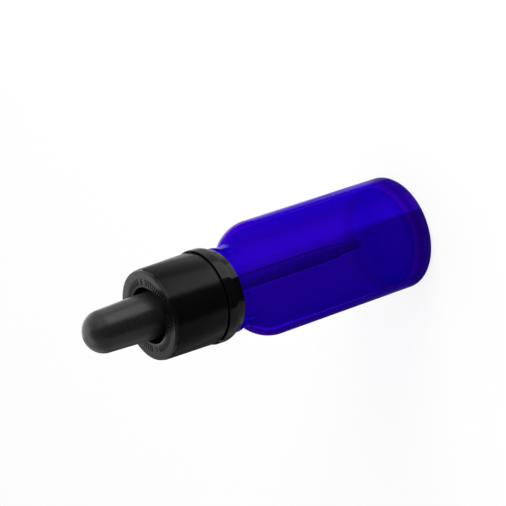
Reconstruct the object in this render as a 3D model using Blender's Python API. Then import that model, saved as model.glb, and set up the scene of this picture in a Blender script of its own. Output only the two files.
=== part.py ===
"""Tincture bottle: a round glass bottle with a child-resistant, tamper-evident dropper closure.

Units are metres and +Z is up. The bottle stands on its base at the origin and its axis is Z.
Pieces: glass_bottle, tamper_band, inner_cap, outer_cap, rubber_bulb and glass_pipette.
"""

import math

import bmesh
import bpy

MM = 0.001

# Glass body
BODY_RADIUS = 16.5 * MM
BODY_HEIGHT = 49.1 * MM
BODY_WALL = 1.9 * MM
HEEL_RADIUS = 2.0 * MM
INNER_HEEL_RADIUS = 3.4 * MM
PUNT_RADIUS = 11.6 * MM
PUNT_DEPTH = 1.2 * MM
BASE_THICKNESS = 2.6 * MM

# Shoulder: a quarter ellipse whose centre lies at this radius, level with the top of the body wall
SHOULDER_CENTRE = 8.56 * MM
SHOULDER_RISE = 8.55 * MM
COLLAR_FILLET = 1.0 * MM

# Neck collar under the closure, with the bead that the eye sees below the tamper band
COLLAR_RADIUS = 11.55 * MM
COLLAR_HEIGHT = 5.2 * MM
COLLAR_BEAD_REACH = 0.55 * MM
COLLAR_BEAD_HEIGHT = 0.88 * MM
COLLAR_WALL = 1.9 * MM
COLLAR_CROWN = 1.6 * MM
COLLAR_SOFT = 1.4 * MM

# Finish above the collar: tamper bead, screw thread and lip
FINISH_HEIGHT = 16.0 * MM
FINISH_RADIUS = 8.0 * MM
BORE_RADIUS = 5.6 * MM
LIP_ROUND = 0.4 * MM
TAMPER_BEAD_RISE = 3.15 * MM
TAMPER_BEAD_REACH = 2.2 * MM
TAMPER_BEAD_HEIGHT = 1.3 * MM

# Thread, single start and right-handed
THREAD_PITCH = 3.0 * MM
THREAD_DEPTH = 0.9 * MM
THREAD_ROOT_HALF = 0.95 * MM
THREAD_CREST_HALF = 0.55 * MM
THREAD_TURNS = 1.5
THREAD_DROP = 2.3 * MM
CAP_THREAD_ROOT_HALF = 0.85 * MM
CAP_THREAD_TURNS = 1.25

# How deep a rib, tooth or thread is sunk into the wall that it grows from
SINK = 0.25 * MM

# Clearances
SEAT_GAP = 0.3 * MM
RUNNING_GAP = 0.3 * MM
THREAD_GAP = 0.35 * MM

# Tamper band
BAND_STANDOFF = 0.8 * MM
BAND_HEIGHT = 6.1 * MM
BAND_RIM = 0.3 * MM
BAND_TAPER_HEIGHT = 3.15 * MM
BAND_TAPER_REACH = 1.57 * MM
BAND_SOFT_EDGE = 0.9 * MM
BAND_BEAD_GAP = 0.5 * MM
RECESS_DEPTH = 1.45 * MM
RECESS_GAP = 0.1 * MM
PAWL_COUNT = 8
PAWL_WIDTH = 3.6 * MM
PAWL_HEIGHT = 1.3 * MM
PAWL_CATCH = 1.0 * MM
BRIDGE_COUNT = 8
BRIDGE_WIDTH = 1.0 * MM
BRIDGE_HEIGHT = 0.3 * MM

# Inner cap
INNER_CAP_WALL = 1.5 * MM
INNER_CAP_ROOF = 1.5 * MM
SNAP_BEAD_REACH = 0.75 * MM
SNAP_BEAD_HEIGHT = 1.6 * MM
RATCHET_COUNT = 8
RATCHET_HEIGHT = 1.2 * MM
RATCHET_WIDTH = 2.6 * MM
RATCHET_LENGTH = 2.4 * MM

# Outer cap
OUTER_CAP_WALL = 1.22 * MM
OUTER_CAP_TAPER = 0.27 * MM
OUTER_CAP_ROOF = 1.5 * MM
OUTER_CAP_EDGE = 0.35 * MM
OUTER_CAP_SHOULDER = 0.35 * MM
OUTER_CAP_HOLE = 7.88 * MM
OUTER_CAP_LIP = 0.85 * MM
RIB_COUNT = 150
RIB_DEPTH = 0.2 * MM
RIB_MARGIN = 0.5 * MM
RIB_TOP_MARGIN = 0.5 * MM
LUG_DEPTH = 1.4 * MM
LUG_WIDTH = 2.2 * MM

# Rubber bulb
BULB_FLANGE = 2.0 * MM
BULB_BASE_RADIUS = 6.74 * MM
BULB_TOP_RADIUS = 5.93 * MM
BULB_STRAIGHT = 20.8 * MM
BULB_DOME = 5.7 * MM
BULB_WALL = 1.3 * MM
BULB_GRIP = 4.9 * MM

# Glass pipette
PIPETTE_RADIUS = 2.65 * MM
PIPETTE_WALL = 0.8 * MM
PIPETTE_HEAD_REACH = 1.2 * MM
PIPETTE_HEAD_HEIGHT = 0.9 * MM
PIPETTE_TAPER = 12.0 * MM
PIPETTE_TIP_RADIUS = 1.2 * MM
PIPETTE_TIP_BORE = 0.55 * MM
TIP_CLEARANCE = 10.2 * MM

# Facets round each kind of piece, and steps along the curves of an outline
ROUND_STEPS = 48
SLIM_STEPS = 32
FINE_ARC_STEPS = 2
SMALL_ARC_STEPS = 4
WIDE_ARC_STEPS = 8
INNER_ARC_STEPS = 6
SOFT_BEND_STEPS = 3

# Edges that turn more than this stay sharp when a piece is shaded
SHARP_ANGLE = 35

# A thread rises out of its wall, and sinks back in, over this share of a turn
THREAD_FADE_TURNS = 0.125

# Points nearer than this to the axis, or to each other, are one point
AXIS_TOLERANCE = 0.001 * MM

# Heights that follow from the sizes above, from the base up
INNER_FLOOR = PUNT_DEPTH + BASE_THICKNESS
COLLAR_TOP = BODY_HEIGHT + SHOULDER_RISE + COLLAR_HEIGHT
BEAD_BOTTOM = COLLAR_TOP + TAMPER_BEAD_RISE
BEAD_TOP = BEAD_BOTTOM + TAMPER_BEAD_HEIGHT
LIP_TOP = COLLAR_TOP + FINISH_HEIGHT
BAND_BOTTOM = COLLAR_TOP + BAND_STANDOFF
BAND_TOP = BAND_BOTTOM + BAND_HEIGHT
BAND_FLOOR = BAND_TOP - RECESS_DEPTH
INNER_CAP_BOTTOM = BAND_FLOOR + BRIDGE_HEIGHT + SEAT_GAP
FLANGE_BOTTOM = LIP_TOP + SEAT_GAP
FLANGE_TOP = FLANGE_BOTTOM + BULB_FLANGE
ROOF_BOTTOM = FLANGE_TOP + SEAT_GAP
ROOF_TOP = ROOF_BOTTOM + INNER_CAP_ROOF
RATCHET_TOP = ROOF_TOP + RATCHET_HEIGHT
LUG_BOTTOM = RATCHET_TOP + SEAT_GAP
OUTER_ROOF_BOTTOM = LUG_BOTTOM + LUG_DEPTH
OUTER_ROOF_TOP = OUTER_ROOF_BOTTOM + OUTER_CAP_ROOF
OUTER_CAP_BOTTOM = BAND_TOP + SEAT_GAP
LIP_HOOK_TOP = OUTER_CAP_BOTTOM + OUTER_CAP_LIP
SNAP_BEAD_BOTTOM = LIP_HOOK_TOP + SEAT_GAP
HEAD_SEAT = FLANGE_BOTTOM + BULB_GRIP
HEAD_BOTTOM = HEAD_SEAT + SEAT_GAP
HEAD_TOP = HEAD_BOTTOM + PIPETTE_HEAD_HEIGHT
TIP_BOTTOM = INNER_FLOOR + TIP_CLEARANCE

# Radii that follow from the sizes above
BODY_BORE = BODY_RADIUS - BODY_WALL
THREAD_RADIUS = FINISH_RADIUS + THREAD_DEPTH
TAMPER_BEAD_RADIUS = FINISH_RADIUS + TAMPER_BEAD_REACH
CAP_BORE = THREAD_RADIUS + THREAD_GAP
INNER_CAP_RADIUS = CAP_BORE + INNER_CAP_WALL
SNAP_BEAD_RADIUS = INNER_CAP_RADIUS + SNAP_BEAD_REACH
OUTER_CAP_BORE = SNAP_BEAD_RADIUS + RUNNING_GAP
OUTER_CAP_RADIUS = OUTER_CAP_BORE + OUTER_CAP_WALL
HOOK_RADIUS = INNER_CAP_RADIUS + RUNNING_GAP
INNER_CAP_HOLE = BULB_BASE_RADIUS + RUNNING_GAP
FLANGE_RADIUS = CAP_BORE - RUNNING_GAP
BAND_BORE = TAMPER_BEAD_RADIUS + BAND_BEAD_GAP
RECESS_RADIUS = OUTER_CAP_RADIUS + RECESS_GAP
BAND_RADIUS = RECESS_RADIUS + BAND_RIM
PAWL_RADIUS = TAMPER_BEAD_RADIUS - PAWL_CATCH
GRIP_BORE = PIPETTE_RADIUS + RUNNING_GAP
FLANK_SLOPE = (THREAD_ROOT_HALF - THREAD_CREST_HALF) / THREAD_DEPTH


def clear_scene():
    """Remove whatever the file opened with."""
    for thing in list(bpy.data.objects):
        bpy.data.objects.remove(thing, do_unlink=True)


def material(name, colour, roughness, metallic=0.0, transmission=0.0):
    """One Principled material."""
    made = bpy.data.materials.new(name)
    made.use_nodes = True
    shader = made.node_tree.nodes["Principled BSDF"]
    shader.inputs["Base Color"].default_value = (*colour, 1.0)
    shader.inputs["Roughness"].default_value = roughness
    shader.inputs["Metallic"].default_value = metallic
    shader.inputs["Transmission Weight"].default_value = transmission
    made.diffuse_color = (*colour, 1.0)
    return made


def object_from(bm, name):
    """Make an object from a bmesh, with its faces pointing out and its round faces smooth."""
    bmesh.ops.recalc_face_normals(bm, faces=bm.faces)
    mesh = bpy.data.meshes.new(name)
    bm.to_mesh(mesh)
    bm.free()
    mesh.shade_smooth()
    mesh.set_sharp_from_angle(angle=math.radians(SHARP_ANGLE))
    made = bpy.data.objects.new(name, mesh)
    bpy.context.collection.objects.link(made)
    return made


def turned(name, outline, steps=ROUND_STEPS):
    """Spin an outline of (radius, height) points about Z.

    An outline that starts and ends on the axis is left open there, and any other is closed.
    """
    bm = bmesh.new()
    points = [bm.verts.new((radius, 0.0, height)) for radius, height in outline]
    edges = [bm.edges.new(pair) for pair in zip(points, points[1:])]
    on_axis = max(outline[0][0], outline[-1][0]) < AXIS_TOLERANCE
    if not on_axis:
        edges.append(bm.edges.new((points[-1], points[0])))
    bmesh.ops.spin(
        bm,
        geom=points + edges,
        cent=(0.0, 0.0, 0.0),
        axis=(0.0, 0.0, 1.0),
        angle=math.tau,
        steps=steps,
        use_merge=True,
    )
    bmesh.ops.remove_doubles(bm, verts=bm.verts, dist=AXIS_TOLERANCE)
    return object_from(bm, name)


def arc(centre, reach, rise, start, stop, count):
    """Points along an elliptical arc, with angles in degrees from the outward radius."""
    points = []
    for step in range(count + 1):
        angle = math.radians(start + (stop - start) * step / count)
        radius = centre[0] + reach * math.cos(angle)
        height = centre[1] + rise * math.sin(angle)
        points.append((radius, height))
    return points


def bend(start, corner, stop, count):
    """Points along a quadratic curve that leaves start and reaches stop along the corner's sides."""
    points = []
    for step in range(count + 1):
        share = step / count
        weights = ((1 - share) ** 2, 2 * share * (1 - share), share**2)
        radius = sum(w * p[0] for w, p in zip(weights, (start, corner, stop)))
        height = sum(w * p[1] for w, p in zip(weights, (start, corner, stop)))
        points.append((radius, height))
    return points


def blocks(name, count, inner, outer, bottom, top, width, first=0.0, ramp=0.0):
    """Closed blocks set evenly round the axis; ramp slopes one side of each block's free end.

    A positive ramp slopes the upper face's near side, and a negative one the lower face's.
    """
    bm = bmesh.new()
    half = width / 2
    shift = abs(ramp)
    low_near = -half + (shift if ramp < 0 else 0.0)
    high_near = -half + (shift if ramp > 0 else 0.0)
    for index in range(count):
        turn = first + math.tau * index / count
        cosine, sine = math.cos(turn), math.sin(turn)
        corners = []
        for radius in (inner, outer):
            for side, height in ((low_near, bottom), (half, bottom), (half, top), (high_near, top)):
                across = side * radius / outer
                corners.append(
                    bm.verts.new(
                        (
                            radius * cosine - across * sine,
                            radius * sine + across * cosine,
                            height,
                        )
                    )
                )
        near, far = corners[:4], corners[4:]
        bm.faces.new(near)
        bm.faces.new(far)
        for first_corner in range(4):
            next_corner = (first_corner + 1) % 4
            bm.faces.new(
                (near[first_corner], near[next_corner], far[next_corner], far[first_corner])
            )
    return object_from(bm, name)


def thread_ridge(name, wall, depth, root_half, turns, start, first):
    """A helical ridge on a wall; a negative depth points inwards. Its two ends sink into the wall."""
    bm = bmesh.new()
    count = round(turns * ROUND_STEPS)
    fade_steps = round(THREAD_FADE_TURNS * ROUND_STEPS)
    outward = math.copysign(1.0, depth)
    base = wall - outward * SINK
    base_half = root_half + SINK * FLANK_SLOPE
    rings = []
    for step in range(count + 1):
        angle = first + math.tau * step / ROUND_STEPS
        height = start + THREAD_PITCH * step / ROUND_STEPS
        fade = min(1.0, step / fade_steps, (count - step) / fade_steps)
        rise = abs(depth) * fade - SINK / 2 * (1.0 - fade)
        crest = wall + outward * rise
        crest_half = root_half - rise * FLANK_SLOPE
        section = (
            (base, -base_half),
            (crest, -crest_half),
            (crest, crest_half),
            (base, base_half),
        )
        rings.append(
            [
                bm.verts.new((radius * math.cos(angle), radius * math.sin(angle), height + offset))
                for radius, offset in section
            ]
        )
    bm.faces.new(rings[0])
    bm.faces.new(rings[-1])
    for ring, following in zip(rings, rings[1:]):
        for corner in range(4):
            after = (corner + 1) % 4
            bm.faces.new((ring[corner], ring[after], following[after], following[corner]))
    return object_from(bm, name)


def add_solid(body, other):
    """Grow a body by another solid, which stays in the file as a hidden guide."""
    other.hide_render = True
    other.display_type = "WIRE"
    union = body.modifiers.new(other.name, "BOOLEAN")
    union.operation = "UNION"
    union.solver = "EXACT"
    union.object = other


def glass_bottle():
    """Body, shoulder, collar, tamper bead, thread and lip, round one hollow."""
    reach = BODY_RADIUS - SHOULDER_CENTRE
    shoulder = (SHOULDER_CENTRE, BODY_HEIGHT)
    stop = math.degrees(math.acos((COLLAR_RADIUS + COLLAR_FILLET - SHOULDER_CENTRE) / reach))
    fillet_start = arc(shoulder, reach, SHOULDER_RISE, stop, stop, 1)[0]
    crossing = math.degrees(math.acos((COLLAR_RADIUS - SHOULDER_CENTRE) / reach))
    fillet_corner = arc(shoulder, reach, SHOULDER_RISE, crossing, crossing, 1)[0]
    fillet_end = (COLLAR_RADIUS, fillet_corner[1] + COLLAR_FILLET)
    bead_middle = COLLAR_TOP - COLLAR_BEAD_HEIGHT / 2

    outline = arc((0.0, 0.0), PUNT_RADIUS, PUNT_DEPTH, 90, 0, SMALL_ARC_STEPS)
    outline += arc(
        (BODY_RADIUS - HEEL_RADIUS, HEEL_RADIUS), HEEL_RADIUS, HEEL_RADIUS, -90, 0, SMALL_ARC_STEPS
    )
    outline += arc(shoulder, reach, SHOULDER_RISE, 0, stop, WIDE_ARC_STEPS)
    outline += bend(fillet_start, fillet_corner, fillet_end, SOFT_BEND_STEPS)[1:]
    outline += arc(
        (COLLAR_RADIUS, bead_middle), COLLAR_BEAD_REACH, COLLAR_BEAD_HEIGHT / 2, -90, 90, SMALL_ARC_STEPS
    )
    outline += [
        (FINISH_RADIUS, COLLAR_TOP),
        (FINISH_RADIUS, BEAD_BOTTOM),
        (TAMPER_BEAD_RADIUS, BEAD_BOTTOM),
        (TAMPER_BEAD_RADIUS, BEAD_BOTTOM + TAMPER_BEAD_HEIGHT / 2),
        (FINISH_RADIUS, BEAD_TOP),
    ]
    outline += arc(
        (FINISH_RADIUS - LIP_ROUND, LIP_TOP - LIP_ROUND), LIP_ROUND, LIP_ROUND, 0, 90, FINE_ARC_STEPS
    )
    outline += arc(
        (BORE_RADIUS + LIP_ROUND, LIP_TOP - LIP_ROUND), LIP_ROUND, LIP_ROUND, 90, 180, FINE_ARC_STEPS
    )
    hollow = COLLAR_RADIUS - COLLAR_WALL
    crown = COLLAR_TOP - COLLAR_CROWN
    outline += bend(
        (BORE_RADIUS, crown + COLLAR_SOFT),
        (BORE_RADIUS, crown),
        (BORE_RADIUS + COLLAR_SOFT, crown),
        SOFT_BEND_STEPS,
    )
    outline += bend(
        (hollow - COLLAR_SOFT, crown), (hollow, crown), (hollow, crown - COLLAR_SOFT), SOFT_BEND_STEPS
    )
    inner_reach = BODY_BORE - SHOULDER_CENTRE
    inner_rise = SHOULDER_RISE - BODY_WALL
    meeting = math.degrees(math.acos((hollow - SHOULDER_CENTRE) / inner_reach))
    leaving = math.degrees(math.acos((hollow + COLLAR_FILLET - SHOULDER_CENTRE) / inner_reach))
    inner_corner = arc(shoulder, inner_reach, inner_rise, meeting, meeting, 1)[0]
    inner_end = arc(shoulder, inner_reach, inner_rise, leaving, leaving, 1)[0]
    inner_start = (hollow, inner_corner[1] + COLLAR_FILLET)
    outline += bend(inner_start, inner_corner, inner_end, SOFT_BEND_STEPS)
    outline += arc(shoulder, inner_reach, inner_rise, leaving, 0, INNER_ARC_STEPS)[1:]
    outline += arc(
        (BODY_BORE - INNER_HEEL_RADIUS, INNER_FLOOR + INNER_HEEL_RADIUS),
        INNER_HEEL_RADIUS,
        INNER_HEEL_RADIUS,
        0,
        -90,
        SMALL_ARC_STEPS,
    )
    outline.append((0.0, INNER_FLOOR))
    body = turned("glass_bottle", outline)
    top_coil = LIP_TOP - THREAD_DROP
    ridge = thread_ridge(
        "bottle_thread_guide",
        FINISH_RADIUS,
        THREAD_DEPTH,
        THREAD_ROOT_HALF,
        THREAD_TURNS,
        top_coil - THREAD_TURNS * THREAD_PITCH,
        0.0,
    )
    add_solid(body, ridge)
    return body


def tamper_band():
    """The ring under the cap: a tapered wall, a rim round the cap's edge, pawls and broken bridges."""
    edge = BAND_BOTTOM + BAND_TAPER_HEIGHT
    lean = BAND_TAPER_REACH / BAND_TAPER_HEIGHT
    soft_start = (BAND_RADIUS - lean * BAND_SOFT_EDGE, edge - BAND_SOFT_EDGE)
    soft_stop = (BAND_RADIUS, edge + BAND_SOFT_EDGE)
    outline = [
        (BAND_BORE, BAND_BOTTOM),
        (BAND_RADIUS - BAND_TAPER_REACH, BAND_BOTTOM),
    ]
    outline += bend(soft_start, (BAND_RADIUS, edge), soft_stop, SOFT_BEND_STEPS)
    outline += [
        (BAND_RADIUS, BAND_TOP),
        (RECESS_RADIUS, BAND_TOP),
        (RECESS_RADIUS, BAND_FLOOR),
        (BAND_BORE, BAND_FLOOR),
    ]
    body = turned("tamper_band", outline)
    sunk = BAND_BORE + SINK
    pawl_top = BEAD_BOTTOM - SEAT_GAP
    pawls = blocks(
        "pawl_guide", PAWL_COUNT, PAWL_RADIUS, sunk, pawl_top - PAWL_HEIGHT, pawl_top, PAWL_WIDTH
    )
    bridge_inner = CAP_BORE + RUNNING_GAP
    bridges = blocks(
        "bridge_guide",
        BRIDGE_COUNT,
        bridge_inner,
        sunk,
        BAND_FLOOR - 2 * BRIDGE_HEIGHT,
        BAND_FLOOR + BRIDGE_HEIGHT,
        BRIDGE_WIDTH,
        first=math.pi / BRIDGE_COUNT,
    )
    add_solid(body, pawls)
    add_solid(body, bridges)
    return body


def inner_cap():
    """The threaded cap: skirt, bead that holds the outer cap, roof with a hole, and ratchet teeth."""
    outline = [
        (CAP_BORE, INNER_CAP_BOTTOM),
        (INNER_CAP_RADIUS, INNER_CAP_BOTTOM),
        (INNER_CAP_RADIUS, SNAP_BEAD_BOTTOM),
        (SNAP_BEAD_RADIUS, SNAP_BEAD_BOTTOM),
        (SNAP_BEAD_RADIUS, SNAP_BEAD_BOTTOM + SNAP_BEAD_HEIGHT / 2),
        (INNER_CAP_RADIUS, SNAP_BEAD_BOTTOM + SNAP_BEAD_HEIGHT),
        (INNER_CAP_RADIUS, ROOF_TOP),
        (INNER_CAP_HOLE, ROOF_TOP),
        (INNER_CAP_HOLE, ROOF_BOTTOM),
        (CAP_BORE, ROOF_BOTTOM),
    ]
    body = turned("inner_cap", outline)
    top_coil = LIP_TOP - THREAD_DROP - THREAD_PITCH / 2
    ridge = thread_ridge(
        "cap_thread_guide",
        CAP_BORE,
        -THREAD_DEPTH,
        CAP_THREAD_ROOT_HALF,
        CAP_THREAD_TURNS,
        top_coil - CAP_THREAD_TURNS * THREAD_PITCH,
        math.tau * (THREAD_TURNS - CAP_THREAD_TURNS),
    )
    teeth = blocks(
        "ratchet_guide",
        RATCHET_COUNT,
        INNER_CAP_RADIUS - RATCHET_LENGTH,
        INNER_CAP_RADIUS - SEAT_GAP,
        ROOF_TOP - SINK,
        RATCHET_TOP,
        RATCHET_WIDTH,
        ramp=RATCHET_WIDTH / 2,
    )
    add_solid(body, ridge)
    add_solid(body, teeth)
    return body


def ribbed_band(name, inner, bottom, top, bottom_radius, top_radius):
    """A ring with fine upright ribs outside and a plain wall inside, which tapers to its top."""
    bm = bmesh.new()
    columns = 2 * RIB_COUNT
    levels = []
    for height, crest in ((bottom, bottom_radius), (top, top_radius)):
        inside, outside = [], []
        for column in range(columns):
            angle = math.tau * column / columns
            radius = crest if column % 2 == 0 else crest - RIB_DEPTH
            for ring, reach in ((inside, inner), (outside, radius)):
                ring.append(
                    bm.verts.new((reach * math.cos(angle), reach * math.sin(angle), height))
                )
        levels.append((inside, outside))
    (low_in, low_out), (high_in, high_out) = levels
    strips = ((low_out, high_out), (high_in, low_in), (low_in, low_out), (high_out, high_in))
    for column in range(columns):
        after = (column + 1) % columns
        for first, second in strips:
            bm.faces.new((first[column], first[after], second[after], second[column]))
    return object_from(bm, name)


def outer_cap():
    """The ribbed shell that slides on the inner cap, with its hooked edge and its driving lugs."""
    wall_bottom = OUTER_CAP_RADIUS - RIB_DEPTH
    wall_top = wall_bottom - OUTER_CAP_TAPER
    outline = [
        (HOOK_RADIUS, OUTER_CAP_BOTTOM),
        (wall_bottom - OUTER_CAP_EDGE, OUTER_CAP_BOTTOM),
        (wall_bottom, OUTER_CAP_BOTTOM + OUTER_CAP_EDGE),
    ]
    outline += arc(
        (wall_top - OUTER_CAP_SHOULDER, OUTER_ROOF_TOP - OUTER_CAP_SHOULDER),
        OUTER_CAP_SHOULDER,
        OUTER_CAP_SHOULDER,
        0,
        90,
        SMALL_ARC_STEPS,
    )
    outline += [
        (OUTER_CAP_HOLE + OUTER_CAP_EDGE, OUTER_ROOF_TOP),
        (OUTER_CAP_HOLE, OUTER_ROOF_TOP - OUTER_CAP_EDGE),
        (OUTER_CAP_HOLE, OUTER_ROOF_BOTTOM),
        (OUTER_CAP_BORE, OUTER_ROOF_BOTTOM),
        (OUTER_CAP_BORE, LIP_HOOK_TOP),
        (HOOK_RADIUS, LIP_HOOK_TOP),
    ]
    body = turned("outer_cap", outline)
    rib_bottom = OUTER_CAP_BOTTOM + RIB_MARGIN
    rib_top = OUTER_ROOF_TOP - RIB_TOP_MARGIN
    ribs = ribbed_band(
        "rib_guide",
        (wall_top + OUTER_CAP_BORE) / 2,
        rib_bottom,
        rib_top,
        OUTER_CAP_RADIUS,
        OUTER_CAP_RADIUS - OUTER_CAP_TAPER,
    )
    lugs = blocks(
        "lug_guide",
        RATCHET_COUNT,
        INNER_CAP_RADIUS - RATCHET_LENGTH,
        INNER_CAP_RADIUS - SEAT_GAP,
        LUG_BOTTOM,
        OUTER_ROOF_BOTTOM + SINK,
        LUG_WIDTH,
        first=math.pi / RATCHET_COUNT,
        ramp=-LUG_WIDTH / 2,
    )
    add_solid(body, ribs)
    add_solid(body, lugs)
    return body


def rubber_bulb():
    """The teat: a flange that seals on the lip, a thick grip round the pipette, and a hollow dome."""
    wall_top = FLANGE_TOP + BULB_STRAIGHT
    lean = (BULB_BASE_RADIUS - BULB_TOP_RADIUS) / BULB_STRAIGHT
    seat_radius = BULB_BASE_RADIUS - lean * (HEAD_SEAT - FLANGE_TOP) - BULB_WALL
    outline = arc((0.0, wall_top), BULB_TOP_RADIUS, BULB_DOME, 90, 0, WIDE_ARC_STEPS)
    outline += [
        (BULB_BASE_RADIUS, FLANGE_TOP),
        (FLANGE_RADIUS, FLANGE_TOP),
        (FLANGE_RADIUS, FLANGE_BOTTOM),
        (GRIP_BORE, FLANGE_BOTTOM),
        (GRIP_BORE, HEAD_SEAT),
        (seat_radius, HEAD_SEAT),
    ]
    outline += arc(
        (0.0, wall_top), BULB_TOP_RADIUS - BULB_WALL, BULB_DOME - BULB_WALL, 0, 90, INNER_ARC_STEPS
    )
    return turned("rubber_bulb", outline)


def glass_pipette():
    """A glass tube with a rim at its head and a drawn-out tip."""
    outline = [
        (PIPETTE_RADIUS - PIPETTE_WALL, HEAD_TOP),
        (PIPETTE_RADIUS + PIPETTE_HEAD_REACH, HEAD_TOP),
        (PIPETTE_RADIUS + PIPETTE_HEAD_REACH, HEAD_BOTTOM),
        (PIPETTE_RADIUS, HEAD_BOTTOM),
        (PIPETTE_RADIUS, TIP_BOTTOM + PIPETTE_TAPER),
        (PIPETTE_TIP_RADIUS, TIP_BOTTOM),
        (PIPETTE_TIP_BORE, TIP_BOTTOM),
        (PIPETTE_RADIUS - PIPETTE_WALL, TIP_BOTTOM + PIPETTE_TAPER),
    ]
    return turned("glass_pipette", outline, SLIM_STEPS)


def build():
    """Make every piece and give each one its material."""
    clear_scene()
    finishes = {
        "cobalt_glass": material("cobalt_glass", (0.018, 0.001, 0.42), 0.04, transmission=0.9),
        "gloss_black_plastic": material("gloss_black_plastic", (0.012, 0.012, 0.012), 0.18),
        "satin_black_plastic": material("satin_black_plastic", (0.014, 0.014, 0.014), 0.38),
        "inner_cap_plastic": material("inner_cap_plastic", (0.02, 0.02, 0.021), 0.45),
        "black_rubber": material("black_rubber", (0.022, 0.022, 0.022), 0.5),
        "clear_glass": material("clear_glass", (0.85, 0.88, 0.9), 0.03, transmission=1.0),
    }
    pieces = (
        (glass_bottle, "cobalt_glass"),
        (tamper_band, "gloss_black_plastic"),
        (inner_cap, "inner_cap_plastic"),
        (outer_cap, "satin_black_plastic"),
        (rubber_bulb, "black_rubber"),
        (glass_pipette, "clear_glass"),
    )
    for make, finish in pieces:
        piece = make()
        piece.data.materials.append(finishes[finish])


build()
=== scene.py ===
# %% [markdown]
# A tincture bottle, dressed for its portrait
#
# A blue glass bottle with a ribbed push-and-turn cap, a tamper-evident band, a rubber bulb and a
# glass pipette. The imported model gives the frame: where each piece is and which body it rides on.
# This lesson turns finer copies of the pieces round the bottle's axis, adds the small shapes that
# repeat, gives each one a finish made of nodes, and sets up a plain studio.

import math

import bmesh
import bpy
from mathutils import Matrix, Vector


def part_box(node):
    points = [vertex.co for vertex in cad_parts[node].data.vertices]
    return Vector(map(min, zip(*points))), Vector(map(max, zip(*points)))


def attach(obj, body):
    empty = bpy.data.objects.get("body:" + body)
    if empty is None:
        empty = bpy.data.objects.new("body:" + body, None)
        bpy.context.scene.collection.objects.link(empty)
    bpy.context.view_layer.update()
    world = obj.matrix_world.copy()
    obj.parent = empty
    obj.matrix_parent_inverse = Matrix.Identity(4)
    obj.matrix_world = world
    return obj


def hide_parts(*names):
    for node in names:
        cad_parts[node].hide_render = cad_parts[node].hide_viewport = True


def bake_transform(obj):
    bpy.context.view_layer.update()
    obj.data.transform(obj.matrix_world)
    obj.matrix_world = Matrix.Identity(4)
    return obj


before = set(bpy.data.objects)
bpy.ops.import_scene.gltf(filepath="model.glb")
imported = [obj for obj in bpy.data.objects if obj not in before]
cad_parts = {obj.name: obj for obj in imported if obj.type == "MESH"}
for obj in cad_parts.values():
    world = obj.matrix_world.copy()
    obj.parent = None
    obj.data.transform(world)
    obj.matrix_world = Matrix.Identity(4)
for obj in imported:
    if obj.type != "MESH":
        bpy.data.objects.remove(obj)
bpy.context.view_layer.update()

# %% [markdown]
# Heights and radii come from the frame where a node's box gives them. The rest are the maker's own
# sizes, written once in metres. A bottle's neck, collar and heel are inside its box, so no box can
# say where they are. Moulded corners are soft, and four softnesses serve most of them.

# %% Read the sizes
MM = 0.001
FINE = 0.1 * MM
CRISP = 0.15 * MM
SOFT = 0.2 * MM
ROUND = 0.3 * MM

glass_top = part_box("glass_bottle")[1].z
body_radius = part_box("glass_bottle")[1].x
band_low, band_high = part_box("tamper_band")
cap_low, cap_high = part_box("outer_cap")
bulb_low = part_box("rubber_bulb")[0]
tube_low, tube_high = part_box("glass_pipette")

print("glass", round(glass_top * 1000, 2), "mm high,", round(body_radius * 2000, 2), "mm across")
print("cap", round(cap_low.z * 1000, 2), "to", round(cap_high.z * 1000, 2), "mm")


# %% [markdown]
# Every outline here is a list of points, each a radius and a height. Straight stretches need two
# points and round ones need an arc, so one helper gives points along an ellipse and another gives
# points along a soft corner between two straight lines.

# %% Draw arcs and soft corners
def arc(centre, reach, rise, start, stop, count):
    """Points on an elliptical arc, in degrees from the outward radius."""
    points = []
    for step in range(count + 1):
        angle = math.radians(start + (stop - start) * step / count)
        radius = centre[0] + reach * math.cos(angle)
        height = centre[1] + rise * math.sin(angle)
        points.append((radius, height))
    return points


def bend(start, corner, stop, count):
    """Points on a curve that leaves start and reaches stop along the corner's two sides."""
    points = []
    for step in range(count + 1):
        share = step / count
        weights = ((1 - share) ** 2, 2 * share * (1 - share), share**2)
        radius = sum(w * p[0] for w, p in zip(weights, (start, corner, stop)))
        height = sum(w * p[1] for w, p in zip(weights, (start, corner, stop)))
        points.append((radius, height))
    return points


def rounded(corners, count=4):
    """A closed outline from (radius, height, softness) corners; a softness of 0 keeps the point."""
    points = []
    total = len(corners)
    for index, (radius, height, softness) in enumerate(corners):
        here = Vector((radius, height))
        if softness == 0:
            points.append((radius, height))
            continue
        back = Vector(corners[index - 1][:2]) - here
        ahead = Vector(corners[(index + 1) % total][:2]) - here
        cut = min(softness, back.length / 2.2, ahead.length / 2.2)
        points += bend(here + back.normalized() * cut, here, here + ahead.normalized() * cut, count)
    return points


# %% [markdown]
# A tree of nodes needs the same few steps each time: make the tree, name its inputs, add nodes and
# fill them. These helpers keep the trees below short enough to read. An input takes a constant or
# another node's output, and adding a node gives the output that is used next.

# %% Start trees of nodes
def new_tree(name, inputs):
    """A geometry tree with named inputs; gives the tree, its inputs and their identifiers."""
    tree = bpy.data.node_groups.new(name, "GeometryNodeTree")
    names = {}
    for label, kind in {"Geometry": "Geometry", **inputs, "Finish": "Material"}.items():
        socket = tree.interface.new_socket(label, in_out="INPUT", socket_type="NodeSocket" + kind)
        names[label] = socket.identifier
    tree.interface.new_socket("Geometry", in_out="OUTPUT", socket_type="NodeSocketGeometry")
    return tree, tree.nodes.new("NodeGroupInput").outputs, names


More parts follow.
